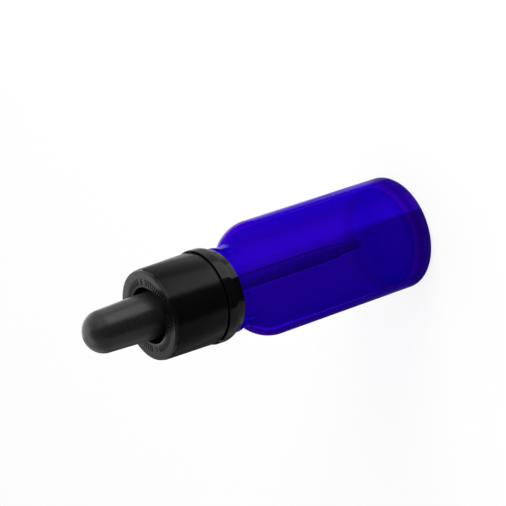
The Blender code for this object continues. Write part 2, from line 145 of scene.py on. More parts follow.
def put(tree, node, values):
    """Fill a node's inputs; a colour is three numbers."""
    for label, value in values.items():
        socket = node.inputs[label]
        if isinstance(value, bpy.types.NodeSocket):
            tree.links.new(value, socket)
        else:
            socket.default_value = (*value, 1.0) if socket.type == "RGBA" else value


def add(tree, kind, values=(), output=0, **settings):
    """Add a node with its settings and inputs, and give one of its outputs."""
    node = tree.nodes.new(kind)
    for key, value in settings.items():
        setattr(node, key, value)
    put(tree, node, dict(values))
    return node.outputs[output]


def math_node(tree, operation, first, second):
    """The result of one sum on two values."""
    return add(tree, "ShaderNodeMath", {0: first, 1: second}, operation=operation)


def close_tree(tree, given, result):
    """Make any copies real, set the finish and send the result out."""
    real = add(tree, "GeometryNodeRealizeInstances", {"Geometry": result})
    dressed = add(tree, "GeometryNodeSetMaterial", {"Geometry": real, "Material": given["Finish"]})
    put(tree, tree.nodes.new("NodeGroupOutput"), {"Geometry": dressed})
    return tree


# %% [markdown]
# The bottle, bulb, band, caps and pipette are all round, so one tree turns them all, as a lathe
# does. The object holds the outline as edges. The tree makes a curve of it, sweeps it round a small
# circle, merges the points that meet on the axis, and keeps real corners sharp. A Screw modifier
# could do this too, but a tree has named inputs and keeps its material with it.

# %% Build the lathe
RAIL = 1.0 * MM
MERGE = 0.002 * MM
SHARP = math.radians(32)
OVER = (math.pi, 0.0, 0.0)


def lathe_tree():
    """Turn the object's outline round Z."""
    tree, given, names = new_tree("turn_on_a_lathe", {"Steps": "Int"})
    outline = add(tree, "GeometryNodeMeshToCurve", {"Mesh": given["Geometry"]})
    upright = {"Geometry": outline, "Translation": (-RAIL, 0.0, 0.0), "Rotation": OVER}
    profile = add(tree, "GeometryNodeTransform", upright)
    circle = {"Resolution": given["Steps"], "Radius": RAIL}
    ring = add(tree, "GeometryNodeCurvePrimitiveCircle", circle)
    rail = add(tree, "GeometryNodeSetCurveNormal", {"Curve": ring}, mode="Z_UP")
    swept = add(tree, "GeometryNodeCurveToMesh", {"Curve": rail, "Profile Curve": profile})
    merged = add(tree, "GeometryNodeMergeByDistance", {"Geometry": swept, "Distance": MERGE})
    smooth = add(tree, "GeometryNodeSetShadeSmooth", {"Geometry": merged}, domain="FACE")
    angles = {"A": add(tree, "GeometryNodeInputMeshEdgeAngle"), "B": SHARP}
    steep = add(tree, "FunctionNodeCompare", angles, data_type="FLOAT", operation="GREATER_THAN")
    corners = {"Geometry": smooth, "Selection": steep, "Shade Smooth": False}
    crisp = add(tree, "GeometryNodeSetShadeSmooth", corners, domain="EDGE")
    return close_tree(tree, given, crisp), names


LATHE = lathe_tree()
print("lathe tree:", len(LATHE[0].nodes), "nodes")


# %% [markdown]
# A modifier's result has to become a plain mesh before a piece joins the frame. This step reads the
# evaluated object, swaps the new mesh in, drops the modifier, and turns every face outwards.

# %% Turn a modifier's result into a plain mesh
def placed(name, data):
    """A new object at the origin that holds the data."""
    made = bpy.data.objects.new(name, data)
    bpy.context.scene.collection.objects.link(made)
    return made


def outline_object(name, outline, closed):
    """An object that holds an outline as a chain of edges."""
    mesh = bpy.data.meshes.new(name)
    points = [(radius, height, 0.0) for radius, height in outline]
    edges = [(index, index + 1) for index in range(len(points) - 1)]
    if closed:
        edges.append((len(points) - 1, 0))
    mesh.from_pydata(points, edges, [])
    return placed(name, mesh)


def settle(piece):
    """Keep the evaluated mesh and remove the modifiers."""
    graph = bpy.context.evaluated_depsgraph_get()
    mesh = bpy.data.meshes.new_from_object(piece.evaluated_get(graph))
    mesh.name = piece.name
    piece.modifiers.clear()
    piece.data = mesh
    return piece


def shaped(piece, tree, names, values):
    """Run a tree on a piece with these inputs, and keep the result."""
    modifier = piece.modifiers.new(tree.name, "NODES")
    modifier.node_group = tree
    for label, value in values.items():
        modifier[names[label]] = value
    return settle(piece)


def face_outwards(piece):
    """Recalculate the normals, which a sweep can leave pointing in."""
    bm = bmesh.new()
    bm.from_mesh(piece.data)
    bmesh.ops.recalc_face_normals(bm, faces=bm.faces)
    if bm.calc_volume(signed=True) < 0:
        bmesh.ops.reverse_faces(bm, faces=bm.faces)
    open_edges = sum(1 for edge in bm.edges if len(edge.link_faces) != 2)
    volume = bm.calc_volume()
    faces = len(bm.faces)
    bm.to_mesh(piece.data)
    bm.free()
    print(f"{piece.name}: {faces} faces, {open_edges} open edges, {volume * 1e9:.0f} mm3")
    return piece


def turned(name, outline, finish, steps=144, closed=True):
    """A finished turned piece."""
    piece = outline_object(name, outline, closed)
    return face_outwards(shaped(piece, *LATHE, {"Steps": steps, "Finish": finish}))


# %% [markdown]
# Ribs, teeth, lugs, pawls and bridges stand evenly round the axis. One of them is modelled, and a
# second tree sets copies of it round Z, each turned by its share of a full circle. The copies are
# made real at the end, because instances are lost when the model leaves Blender.

# %% Build the ring of copies
def ring_tree():
    """Copy the object's own mesh evenly round Z."""
    inputs = {"Count": "Int", "First Angle": "Float", "Step Angle": "Float"}
    tree, given, names = new_tree("copies_round_the_axis", inputs)
    points = add(tree, "GeometryNodePoints", {"Count": given["Count"]})
    turn = math_node(tree, "MULTIPLY", add(tree, "GeometryNodeInputIndex"), given["Step Angle"])
    angle = math_node(tree, "ADD", turn, given["First Angle"])
    rotation = add(tree, "ShaderNodeCombineXYZ", {"Z": angle})
    copies = {"Points": points, "Instance": given["Geometry"], "Rotation": rotation}
    return close_tree(tree, given, add(tree, "GeometryNodeInstanceOnPoints", copies)), names


RING = ring_tree()


def ringed(name, mesh, count, finish, first=0.0, step=None):
    """A finished ring of copies of one small mesh."""
    values = {
        "Count": count,
        "First Angle": first,
        "Step Angle": step or math.tau / count,
        "Finish": finish,
    }
    return face_outwards(shaped(placed(name, mesh), *RING, values))


print("ring tree:", len(RING[0].nodes), "nodes")


# %% [markdown]
# A screw thread follows a spiral, so a third tree sweeps a small section along one. Blender's spiral
# climbs clockwise, which is a left-handed screw, and Reverse makes it right-handed. The section
# shrinks to almost nothing at both ends, because a moulded thread runs out into the wall there.

# %% Build the thread
THREAD_FADE = 0.09
THREAD_LEAST = 0.05
THREAD_STEPS = 72
PITCH = 3.0 * MM


def thread_tree():
    """Sweep the object's outline along a spiral round Z."""
    inputs = {"Turns": "Float", "Rise": "Float", "Radius": "Float", "Steps Per Turn": "Int"}
    tree, given, names = new_tree("thread_along_a_spiral", inputs)
    outline = add(tree, "GeometryNodeMeshToCurve", {"Mesh": given["Geometry"]})
    section = add(tree, "GeometryNodeTransform", {"Geometry": outline, "Rotation": OVER})
    path = {
        "Resolution": given["Steps Per Turn"],
        "Rotations": given["Turns"],
        "Start Radius": given["Radius"],
        "End Radius": given["Radius"],
        "Height": given["Rise"],
        "Reverse": True,
    }
    spiral = add(tree, "GeometryNodeCurveSpiral", path)
    rail = add(tree, "GeometryNodeSetCurveNormal", {"Curve": spiral}, mode="Z_UP")
    along = add(tree, "GeometryNodeSplineParameter")
    nearer = math_node(tree, "MINIMUM", along, math_node(tree, "SUBTRACT", 1.0, along))
    share = math_node(tree, "MINIMUM", math_node(tree, "DIVIDE", nearer, THREAD_FADE), 1.0)
    scale = math_node(tree, "MAXIMUM", share, THREAD_LEAST)
    sweep = {"Curve": rail, "Profile Curve": section, "Scale": scale, "Fill Caps": True}
    return close_tree(tree, given, add(tree, "GeometryNodeCurveToMesh", sweep)), names


THREAD = thread_tree()
print("thread tree:", len(THREAD[0].nodes), "nodes")


def threaded(name, section, turns, radius, start_height, first, finish):
    """A finished ridge along a right-handed spiral that starts at a height and an angle."""
    values = {
        "Turns": turns,
        "Rise": turns * PITCH,
        "Radius": radius,
        "Steps Per Turn": THREAD_STEPS,
        "Finish": finish,
    }
    piece = shaped(outline_object(name, section, True), *THREAD, values)
    place = Matrix.Translation((0.0, 0.0, start_height)) @ Matrix.Rotation(first, 4, "Z")
    piece.data.transform(place)
    return face_outwards(piece)


# %% [markdown]
# The finishes come first, because the trees above set one on each piece as they make it. A finish
# is the real thing's colour and gloss, then what makes it look made: moulded plastic has a faint
# grain and patches that shine more or less, and glass is never quite flat. All of these patterns
# read Object coordinates, in metres, so a scale of 1000 gives marks about 1 mm apart.

# %% Start a finish and its patterns
def new_finish(name, colour, roughness):
    """A material; gives it, its tree, its shader and the Object coordinates."""
    made = bpy.data.materials.new(name)
    made.use_nodes = True
    made.diffuse_color = (*colour, 1.0)
    tree = made.node_tree
    shader = tree.nodes["Principled BSDF"]
    put(tree, shader, {"Base Color": colour, "Roughness": roughness})
    return made, tree, shader, add(tree, "ShaderNodeTexCoord", output="Object")


def marks(tree, place, scale, detail=2.0, stretch=(1.0, 1.0, 1.0)):
    """A noise pattern on the given coordinates."""
    mapped = add(tree, "ShaderNodeMapping", {"Vector": place, "Scale": stretch})
    noise = {"Vector": mapped, "Scale": scale, "Detail": detail}
    return add(tree, "ShaderNodeTexNoise", noise, "Fac")


def stretched(tree, value, start, end, low, high):
    """A value that runs from start to end, made to run from low to high."""
    span = {"Value": value, "From Min": start, "From Max": end, "To Min": low, "To Max": high}
    return add(tree, "ShaderNodeMapRange", span)


def spread(tree, pattern, low, high):
    """The usual range of a noise pattern, made to run from low to high."""
    return stretched(tree, pattern, 0.3, 0.7, low, high)


def product(tree, *values):
    """Two or more values times each other."""
    total = values[0]
    for value in values[1:]:
        total = math_node(tree, "MULTIPLY", total, value)
    return total


def slant(tree, blend):
    """0 where a surface faces the viewer, and 1 where it turns away."""
    return add(tree, "ShaderNodeLayerWeight", {"Blend": blend}, "Facing")


def length(tree, vector):
    """The length of a vector."""
    return add(tree, "ShaderNodeVectorMath", {0: vector}, "Value", operation="LENGTH")


def blended(tree, share, first, second):
    """A colour between two; a Mix node's colours are its inputs 6 and 7 and its output 2."""
    colours = {"Factor": share, 6: first, 7: second}
    return add(tree, "ShaderNodeMix", colours, 2, data_type="RGBA")


def tinted(tree, shader, pattern, dark, light):
    """Let the pattern move the colour between two close shades."""
    put(tree, shader, {"Base Color": blended(tree, spread(tree, pattern, 0.0, 1.0), dark, light)})


def embossed(tree, shader, pattern, height):
    """Raise the surface by the pattern, to a height in metres."""
    raised = add(tree, "ShaderNodeBump", {"Height": pattern, "Distance": height})
    put(tree, shader, {"Normal": raised})


# %% [markdown]
# Blue glass shows its colour in two ways here. Each surface that light crosses tints it, and a thin
# absorbing volume inside makes the thick base and neck deeper than the walls. With the volume alone
# the base would be black, and with the surface alone it would look like a coloured film. Two walls
# pass about half of the blue and 3% of the red. A slow wave in the normals makes the blown wall a
# little uneven.
#
# Three things here suit the photograph more than real glass. The glass hardly bends light, so no
# dark rings show at its heel and neck. The near side of the heel is darkened by a painted shade.
# The rim of the outer surface has a painted shade on one side of the bottle, and a painted
# highlight that is also glossy on the other. Each row of the painted rims gives a tint, how far
# the surface has to turn away, and the tint's share on the two sides. A point is on the outer
# surface when it is far from the centre of the shoulder's ellipse.

# %% Make the blue glass
GLASS_BEND = 1.02
SURFACE_BLUE = (0.225, 0.096, 0.76)
DEPTH_BLUE = (0.7, 0.041, 0.96)
DEPTH_DENSITY = 500.0
WAVE_SCALE = 90.0
WAVE_STRETCH = (1.0, 1.0, 0.35)
WAVE_HEIGHT = 0.05 * MM
WAVE_GLOSS = (0.0, 0.012)
# The painted shade at the heel: its blue, and where it lies.
PAINTED_HEEL_SHADE = (0.006, 0.004, 0.14)
HEEL_RADIUS = (13.0 * MM, 16.0 * MM)
HEEL_HEIGHT = (5.0 * MM, 10.0 * MM)
HEEL_MOTTLE = 260.0
HEEL_LEAST = 0.97
FLAT_SCALE = (1.0, 1.0, 0.0)
WALL = 1.9 * MM
BODY_TOP = 49.1 * MM
SHOULDER_CENTRE = 8.56 * MM
SHOULDER_RISE = 8.55 * MM
# The painted rims: a shade on one side and a highlight on the other.
RIM_OUTER = (0.86, 0.93)
RIM_SIDES = (-2.0 * MM, 2.0 * MM)
RIM_GLOSS = 0.35
PAINTED_RIMS = (
    ((0.18, 0.06, 0.52), (0.53, 0.6), (1.0, 0.0)),
    ((0.7, 1.0, 1.0), (0.68, 0.76), (0.0, 1.0)),
)


def blue_glass():
    """Glass with a tint at each surface, a tint in its depth, a painted shade at the heel and two
    painted rims of shade and highlight.
    """
    made, tree, shader, place = new_finish("blue_bottle_glass", SURFACE_BLUE, 0.01)
    depth = {"Color": DEPTH_BLUE, "Density": DEPTH_DENSITY}
    volume = add(tree, "ShaderNodeVolumeAbsorption", depth)
    put(tree, tree.nodes["Material Output"], {"Volume": volume})
    waves = marks(tree, place, WAVE_SCALE, 1.0, WAVE_STRETCH)
    embossed(tree, shader, waves, WAVE_HEIGHT)
    side = add(tree, "ShaderNodeSeparateXYZ", {"Vector": place}, "X")
    height = add(tree, "ShaderNodeSeparateXYZ", {"Vector": place}, "Z")
    level = add(tree, "ShaderNodeVectorMath", {0: place, 1: FLAT_SCALE}, operation="MULTIPLY")
    reach = length(tree, level)
    leaving = add(tree, "ShaderNodeNewGeometry", output="Backfacing")
    # Painted shade: the near side of the heel turns a deeper blue towards the base.
    heel_shade = product(
        tree,
        stretched(tree, leaving, 0.0, 1.0, 1.0, 0.0),
        stretched(tree, reach, *HEEL_RADIUS, 0.0, 1.0),
        stretched(tree, height, *HEEL_HEIGHT, 1.0, 0.0),
        spread(tree, marks(tree, place, HEEL_MOTTLE), HEEL_LEAST, 1.0),
    )
    across = stretched(tree, reach, SHOULDER_CENTRE, body_radius, 0.0, 1.0)
    above = stretched(tree, height, BODY_TOP, BODY_TOP + SHOULDER_RISE, 0.0, 1.0)
    ellipse = add(tree, "ShaderNodeCombineXYZ", {"X": across, "Y": above})
    outside = stretched(tree, length(tree, ellipse), *RIM_OUTER, 0.0, 1.0)
    facing = slant(tree, 0.5)
    colour = SURFACE_BLUE
    # Painted rims: a darker tint on the -X side as painted shade, and a light tint on the +X side as
    # a painted highlight.
    for tint, edge, sides in PAINTED_RIMS:
        near = stretched(tree, side, *RIM_SIDES, *sides)
        painted_rim = product(tree, stretched(tree, facing, *edge, 0.0, 1.0), near, outside)
        colour = blended(tree, painted_rim, colour, tint)
    look = {
        "Transmission Weight": 1.0,
        "IOR": GLASS_BEND,
        "Roughness": spread(tree, waves, *WAVE_GLOSS),
        "Coat Weight": product(tree, painted_rim, stretched(tree, leaving, 0.0, 1.0, RIM_GLOSS, 0.0)),
        "Base Color": blended(tree, heel_shade, colour, PAINTED_HEEL_SHADE),
    }
    put(tree, shader, look)
    return made


BLUE_GLASS = blue_glass()
passed = [
    surface**2 * math.exp(-(1 - depth) * DEPTH_DENSITY * 2 * WALL)
    for surface, depth in zip(SURFACE_BLUE, DEPTH_BLUE)
]
print("two walls pass", [round(value, 4) for value in passed])

# %% [markdown]
# The closure is black, in four finishes. The band is polished, the ribbed cap is satin, the inner
# cap is left as it came from the mould, and the bulb is rubber, which is dull and a little grey.
# The cap's grain is finer than one of its ribs, and the rubber's is coarser and higher. A part seen
# at a slant is also smoother and brighter, so the cap and the bulb get a coat towards their edges.
# Each row below gives a name, two shades, a range of roughness, the grain's scale and height, the
# patches' scale, the coat at the edge, and the shine.

# %% Make the black finishes
EDGE_FACING = (0.5, 0.75)
EDGE_ROUGHNESS = 0.08
BLACKS = (
    ("polished_black", 0.002, 0.0035, (0.07, 0.13), 1800.0, 0.004 * MM, 220.0, 0.0, 0.5),
    ("satin_black", 0.002, 0.0035, (0.18, 0.26), 4200.0, 0.005 * MM, 260.0, 0.7, 0.5),
    ("moulded_black", 0.012, 0.019, (0.4, 0.5), 2600.0, 0.01 * MM, 300.0, 0.0, 0.5),
    ("bulb_black", 0.009, 0.013, (0.26, 0.34), 2200.0, 0.012 * MM, 150.0, 0.5, 1.0),
)


def black_finish(name, dark, light, gloss, grain, grain_height, patch, edge_gloss, shine):
    """Black plastic or rubber: two close shades, a range of roughness, a grain and slow patches."""
    shades = ((dark, dark, dark), (light, light, light))
    made, tree, shader, place = new_finish(name, shades[0], sum(gloss) / 2)
    slow = marks(tree, place, patch)
    fine = marks(tree, place, grain, 3.0)
    tinted(tree, shader, fine, *shades)
    embossed(tree, shader, fine, grain_height)
    look = {
        "Roughness": spread(tree, slow, *gloss),
        "Specular IOR Level": shine,
        "Coat Weight": stretched(tree, slant(tree, 0.5), *EDGE_FACING, 0.0, edge_gloss),
        "Coat Roughness": EDGE_ROUGHNESS,
    }
    put(tree, shader, look)
    return made


BAND_BLACK, CAP_BLACK, INNER_BLACK, RUBBER = [black_finish(*row) for row in BLACKS]
print("black finishes:", [row[0] for row in BLACKS])


# %% [markdown]
# The pipette is ordinary clear glass, so it keeps a faint green and needs no absorbing volume. It
# also bends little light, so its colour darkens towards its edges as a painted shade, standing in
# for the dark edges that a tube's bending of light gives. The drawn tube has fine streaks.

# %% Make the clear glass
TUBE_BEND = 1.06
TUBE_FACE = (0.84, 0.88, 0.86)
TUBE_EDGE_SHADE = (0.17, 0.18, 0.18)
STREAK_SCALE = 700.0
STREAK_STRETCH = (1.0, 1.0, 0.06)
STREAK_HEIGHT = 0.004 * MM


def clear_glass():
    """Plain tube glass, with a painted shade towards its edges."""
    made, tree, shader, place = new_finish("tube_glass", TUBE_FACE, 0.01)
    streaks = marks(tree, place, STREAK_SCALE, 1.0, STREAK_STRETCH)
    embossed(tree, shader, streaks, STREAK_HEIGHT)
    look = {
        "Transmission Weight": 1.0,
        "IOR": TUBE_BEND,
        "Roughness": spread(tree, streaks, 0.0, 0.04),
        # Painted shade: the colour darkens where the surface turns away.
        "Base Color": blended(tree, slant(tree, 0.35), TUBE_FACE, TUBE_EDGE_SHADE),
    }
    put(tree, shader, look)
    return made


CLEAR_GLASS = clear_glass()

# %% [markdown]
# The bottle is one glass body round one hollow. Its outline climbs outside from the hollow under
# the base to the lip, and comes back down inside, so turning it makes both walls at once and they
# meet at the lip. The shoulder is part of an ellipse, whose sizes the glass finish already needed,
# with a small hollow curve where it meets the neck. The neck carries a low bead, and above it stand
# the catch for the tamper band and the thread.

# %% Draw the bottle's outline
HEEL = 2.0 * MM
PUNT = 11.6 * MM
PUNT_RISE = 1.2 * MM
INSIDE_FLOOR = 3.8 * MM
INSIDE_HEEL = 3.4 * MM
NECK = 11.55 * MM
NECK_CURVE = 1.0 * MM
CROWN = 1.6 * MM
CROWN_SOFT = 1.4 * MM
NECK_TOP = glass_top - 16.0 * MM
BEAD_REACH = 0.55 * MM
BEAD_RISE = 0.44 * MM
FINISH_WALL = 8.0 * MM
BORE = 5.6 * MM
LIP = 0.4 * MM
CATCH_LOW = NECK_TOP + 3.15 * MM
CATCH_REACH = 2.2 * MM
CATCH_RISE = 1.3 * MM
ROUNDING = 0.25 * MM


def shoulder(body, rise, neck):
    """The curve from the body's radius up to the neck's; it leaves the ellipse near the neck."""
    centre = (SHOULDER_CENTRE, BODY_TOP)
    reach = body - SHOULDER_CENTRE
    leave = math.degrees(math.acos((neck + NECK_CURVE - SHOULDER_CENTRE) / reach))
    cross = math.degrees(math.acos((neck - SHOULDER_CENTRE) / reach))
    climb = arc(centre, reach, rise, 0, leave, 40)
    corner = arc(centre, reach, rise, cross, cross, 1)[0]
    return climb + bend(climb[-1], corner, (neck, corner[1] + NECK_CURVE), 8)[1:]


def bottle_outline():
    """The glass, outside from the base up and inside from the lip down."""
    outline = arc((0.0, 0.0), PUNT, PUNT_RISE, 90, 0, 12)
    outline += arc((body_radius - HEEL, HEEL), HEEL, HEEL, -90, 0, 20)
    outline += shoulder(body_radius, SHOULDER_RISE, NECK)
    outline += arc((NECK, NECK_TOP - BEAD_RISE), BEAD_REACH, BEAD_RISE, -90, 90, 12)
    catch = FINISH_WALL + CATCH_REACH
    corners = [
        (NECK, NECK_TOP, 0.0),
        (FINISH_WALL, NECK_TOP, ROUNDING),
        (FINISH_WALL, CATCH_LOW, ROUNDING),
        (catch, CATCH_LOW, ROUNDING),
        (catch, CATCH_LOW + CATCH_RISE / 2, ROUNDING),
        (FINISH_WALL, CATCH_LOW + CATCH_RISE, ROUNDING),
        (FINISH_WALL, glass_top - LIP, 0.0),
    ]
    outline += rounded(corners)[1:-1]
    outline += arc((FINISH_WALL - LIP, glass_top - LIP), LIP, LIP, 0, 90, 6)
    outline += arc((BORE + LIP, glass_top - LIP), LIP, LIP, 90, 180, 6)
    hollow = NECK - WALL
    crown = NECK_TOP - CROWN
    outline += bend((BORE, crown + CROWN_SOFT), (BORE, crown), (BORE + CROWN_SOFT, crown), 8)
    outline += bend((hollow - CROWN_SOFT, crown), (hollow, crown), (hollow, crown - CROWN_SOFT), 8)
    inside = body_radius - WALL
    outline += reversed(shoulder(inside, SHOULDER_RISE - WALL, hollow))
    heel_centre = (inside - INSIDE_HEEL, INSIDE_FLOOR + INSIDE_HEEL)
    outline += arc(heel_centre, INSIDE_HEEL, INSIDE_HEEL, 0, -90, 14)
    outline.append((0.0, INSIDE_FLOOR))
    return outline


glass_outline = bottle_outline()
print("bottle outline:", len(glass_outline), "points")

# %% [markdown]
# The thread has to become one body with the glass, because the blue volume counts every surface it
# crosses, and an overlap would be too dark. A Boolean union does that. The ridge is a low
# trapezium, as a moulded thread is, and starts a little inside the wall.

# %% Turn the bottle and join its thread
THREAD_DEPTH = 0.9 * MM
ROOT_HALF = 0.95 * MM
CREST_HALF = 0.55 * MM
SINK = 0.25 * MM
TURNS = 1.5
TOP_COIL = glass_top - 2.3 * MM


def ridge_section(depth, root_half):
    """A trapezium from just inside the wall to the crest; a negative depth points inwards."""
    outward = math.copysign(1.0, depth)
    slope = (ROOT_HALF - CREST_HALF) / THREAD_DEPTH
    base_half = root_half + SINK * slope
    crest_half = root_half - abs(depth) * slope
    crest = outward * SINK + depth
    return [(0.0, -base_half), (crest, -crest_half), (crest, crest_half), (0.0, base_half)]


def united(piece, other):
    """Join another closed piece to this one, and drop the other."""
    union = piece.modifiers.new("union", "BOOLEAN")
    union.operation = "UNION"
    union.solver = "EXACT"
    union.object = other
    settle(piece)
    bpy.data.objects.remove(other, do_unlink=True)
    piece.data.set_sharp_from_angle(angle=SHARP)
    return face_outwards(piece)


def finished(piece, body, slot, *nodes):
    """Tell the frame which body carries a piece, and the nodes it stands for; the slot is not used.
    """
    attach(piece, body)
    if nodes:
        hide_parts(*nodes)
    low = min(vertex.co.z for vertex in piece.data.vertices)
    high = max(vertex.co.z for vertex in piece.data.vertices)
    print(f"{piece.name}: {low * 1000:.2f} to {high * 1000:.2f} mm high, on {body}")


bottle = turned("bottle_glass", glass_outline, BLUE_GLASS, steps=240, closed=False)
bottle_thread = threaded(
    "bottle_thread",
    ridge_section(THREAD_DEPTH, ROOT_HALF),
    TURNS,
    FINISH_WALL - SINK,
    TOP_COIL - TURNS * PITCH,
    0.0,
    BLUE_GLASS,
)
united(bottle, bottle_thread)
finished(bottle, "bottle", "cobalt_glass", "glass_bottle")

# %% [markdown]
# Pawls, bridges, teeth and lugs are all small blocks that stand on a round wall. One block is made
# at angle zero, its edges are bevelled as a mould leaves them, and the ring tree copies it.

# %% Make one small block
BLOCK_SOFT = 0.07 * MM
STANDING = 8


def bridged(bm, rings):
    """Close a stack of rings into a solid, with a face at each end and faces between."""
    bm.faces.new(rings[0])
    bm.faces.new(rings[-1])
    count = len(rings[0])
    for ring, following in zip(rings, rings[1:]):
        for side in range(count):
            after = (side + 1) % count
            bm.faces.new((ring[side], ring[after], following[after], following[side]))


def bevelled(bm, soft, clamp):
    """Turn the faces outwards and soften every edge."""
    bmesh.ops.recalc_face_normals(bm, faces=bm.faces)
    every = {"geom": list(bm.edges), "offset": soft, "affect": "EDGES", "clamp_overlap": clamp}
    bmesh.ops.bevel(bm, segments=2, profile=0.5, **every)


def mesh_of(bm, name, smooth=True):
    """A plain mesh; if it is smooth, it keeps its real corners."""
    mesh = bpy.data.meshes.new(name)
    bm.to_mesh(mesh)
    bm.free()
    if smooth:
        mesh.shade_smooth()
        mesh.set_sharp_from_angle(angle=SHARP)
    return mesh


def block(name, inner, outer, bottom, top, width, ramp=0.0, soft=BLOCK_SOFT):
    """A soft-edged block; a positive ramp slopes its upper face, and a negative one its lower."""
    bm = bmesh.new()
    half = width / 2
    low_near = -half + max(-ramp, 0.0)
    high_near = -half + max(ramp, 0.0)
    profile = ((low_near, bottom), (half, bottom), (half, top), (high_near, top))
    rings = []
    for radius in (inner, outer):
        share = radius / outer
        rings.append([bm.verts.new((radius, side * share, height)) for side, height in profile])
    bridged(bm, rings)
    bevelled(bm, soft, True)
    return mesh_of(bm, name)


def studs(name, shape, finish, body, slot, ramp=0.0, first=0.0):
    """A ring of eight blocks; the shape is an inner and outer radius, bottom, top and width."""
    stud = block(name, *shape, ramp)
    finished(ringed(name, stud, STANDING, finish, first), body, slot)


# %% [markdown]
# The tamper band stays on the neck when the cap is first opened. It leans in at the bottom, turns
# a soft corner, and its rim stands round the cap's lower edge. Inside, eight pawls hook under the
# bottle's catch, and the broken bridges that once held it to the cap stand on its ledge.

# %% Turn the tamper band
BAND_RADIUS = band_high.x
TAPER_RISE = 3.15 * MM
TAPER_REACH = 1.57 * MM
SOFT_EDGE = 0.9 * MM
FOOT_EDGE = 0.22 * MM
BAND_EDGE = 0.14 * MM
TIGHT = 0.12 * MM
BAND_BORE = 10.4 * MM
RIM_BORE = 13.12 * MM
LEDGE = band_high.z - 1.45 * MM
PAWL_INNER = 9.2 * MM
PAWL_TOP = CATCH_LOW - 0.3 * MM
PAWL_RISE = 1.3 * MM
PAWL_WIDTH = 3.6 * MM
BRIDGE_INNER = 9.55 * MM
BRIDGE_LOW = LEDGE - 0.6 * MM
BRIDGE_HIGH = LEDGE + 0.3 * MM
BRIDGE_WIDTH = 1.0 * MM

taper_top = band_low.z + TAPER_RISE
lean = TAPER_REACH / TAPER_RISE
taper_end = (BAND_RADIUS - lean * SOFT_EDGE, taper_top - SOFT_EDGE)
side_start = (BAND_RADIUS, taper_top + SOFT_EDGE)
band_corners = [
    (BAND_BORE, band_low.z, SOFT),
    (BAND_RADIUS - TAPER_REACH, band_low.z, FOOT_EDGE),
    *[(*point, 0.0) for point in bend(taper_end, (BAND_RADIUS, taper_top), side_start, 10)],
    (BAND_RADIUS, band_high.z, BAND_EDGE),
    (RIM_BORE, band_high.z, TIGHT),
    (RIM_BORE, LEDGE, SOFT),
    (BAND_BORE, LEDGE, CRISP),
]
band = turned("tamper_band_ring", rounded(band_corners), BAND_BLACK)
finished(band, "band", "gloss_black_plastic", "tamper_band")

stud_outer = BAND_BORE + SINK
pawl = (PAWL_INNER, stud_outer, PAWL_TOP - PAWL_RISE, PAWL_TOP, PAWL_WIDTH)
studs("band_pawls", pawl, BAND_BLACK, "band", "gloss_black_plastic")
bridge = (BRIDGE_INNER, stud_outer, BRIDGE_LOW, BRIDGE_HIGH, BRIDGE_WIDTH)
half_step = math.pi / STANDING
studs("band_bridges", bridge, BAND_BLACK, "band", "gloss_black_plastic", first=half_step)

# %% [markdown]
# The inner cap does the real work: its thread grips the bottle, its roof presses the bulb's flange
# on the lip, and its ramped teeth slip under the outer cap's lugs unless the outer cap is pushed
# down. A bead round its skirt keeps the outer cap on.

# %% Turn the inner cap
CAP_BORE = 9.25 * MM
SKIRT = 10.75 * MM
SNAP_REACH = 0.75 * MM
SNAP_LOW = 71.2 * MM
SNAP_RISE = 1.6 * MM
ROOF_LOW = 81.45 * MM
ROOF_HIGH = 82.95 * MM
INNER_HOLE = 7.04 * MM
INNER_LOW = LEDGE + 0.15 * MM
TOOTH_LENGTH = 2.4 * MM
TOOTH_RISE = 1.2 * MM
TOOTH_WIDTH = 2.6 * MM
TOOTH_OUTER = SKIRT - 0.3 * MM
TOOTH_INNER = SKIRT - TOOTH_LENGTH
CAP_TURNS = 1.25
CAP_ROOT_HALF = 0.85 * MM

skirt_corners = [
    (CAP_BORE, INNER_LOW, ROUND),
    (SKIRT, INNER_LOW, SOFT),
    (SKIRT, SNAP_LOW, FINE),
    (SKIRT + SNAP_REACH, SNAP_LOW, CRISP),
    (SKIRT + SNAP_REACH, SNAP_LOW + SNAP_RISE / 2, SOFT),
    (SKIRT, SNAP_LOW + SNAP_RISE, SOFT),
    (SKIRT, ROOF_HIGH, ROUND),
    (INNER_HOLE, ROOF_HIGH, ROUNDING),
    (INNER_HOLE, ROOF_LOW, SOFT),
    (CAP_BORE, ROOF_LOW, ROUND),
]
inner = turned("inner_cap_shell", rounded(skirt_corners), INNER_BLACK, steps=96)
inner_thread = threaded(
    "inner_cap_thread",
    ridge_section(-THREAD_DEPTH, CAP_ROOT_HALF),
    CAP_TURNS,
    CAP_BORE + SINK,
    TOP_COIL - PITCH / 2 - CAP_TURNS * PITCH,
    math.tau * (TURNS - CAP_TURNS),
    INNER_BLACK,
)
finished(inner, "closure", "inner_cap_plastic", "inner_cap")
finished(inner_thread, "closure", "inner_cap_plastic")

tooth = (TOOTH_INNER, TOOTH_OUTER, ROOF_HIGH - SINK, ROOF_HIGH + TOOTH_RISE, TOOTH_WIDTH)
ramp = TOOTH_WIDTH / 2
studs("ratchet_teeth", tooth, INNER_BLACK, "closure", "inner_cap_plastic", ramp)

# %% [markdown]
# The outer cap is the part a hand holds. Its wall leans in a quarter of a millimetre towards the
# top, its edge is nearly sharp, the rim of its hole is rounder, and a hook at the bottom snaps under
# the inner cap's bead. Its lower edge reaches a little into the band, so no light shows between the
# two. There are 150 fine ribs, so one rib with seventeen faces is copied round. It has a flat top,
# and its two ends sink into the wall.

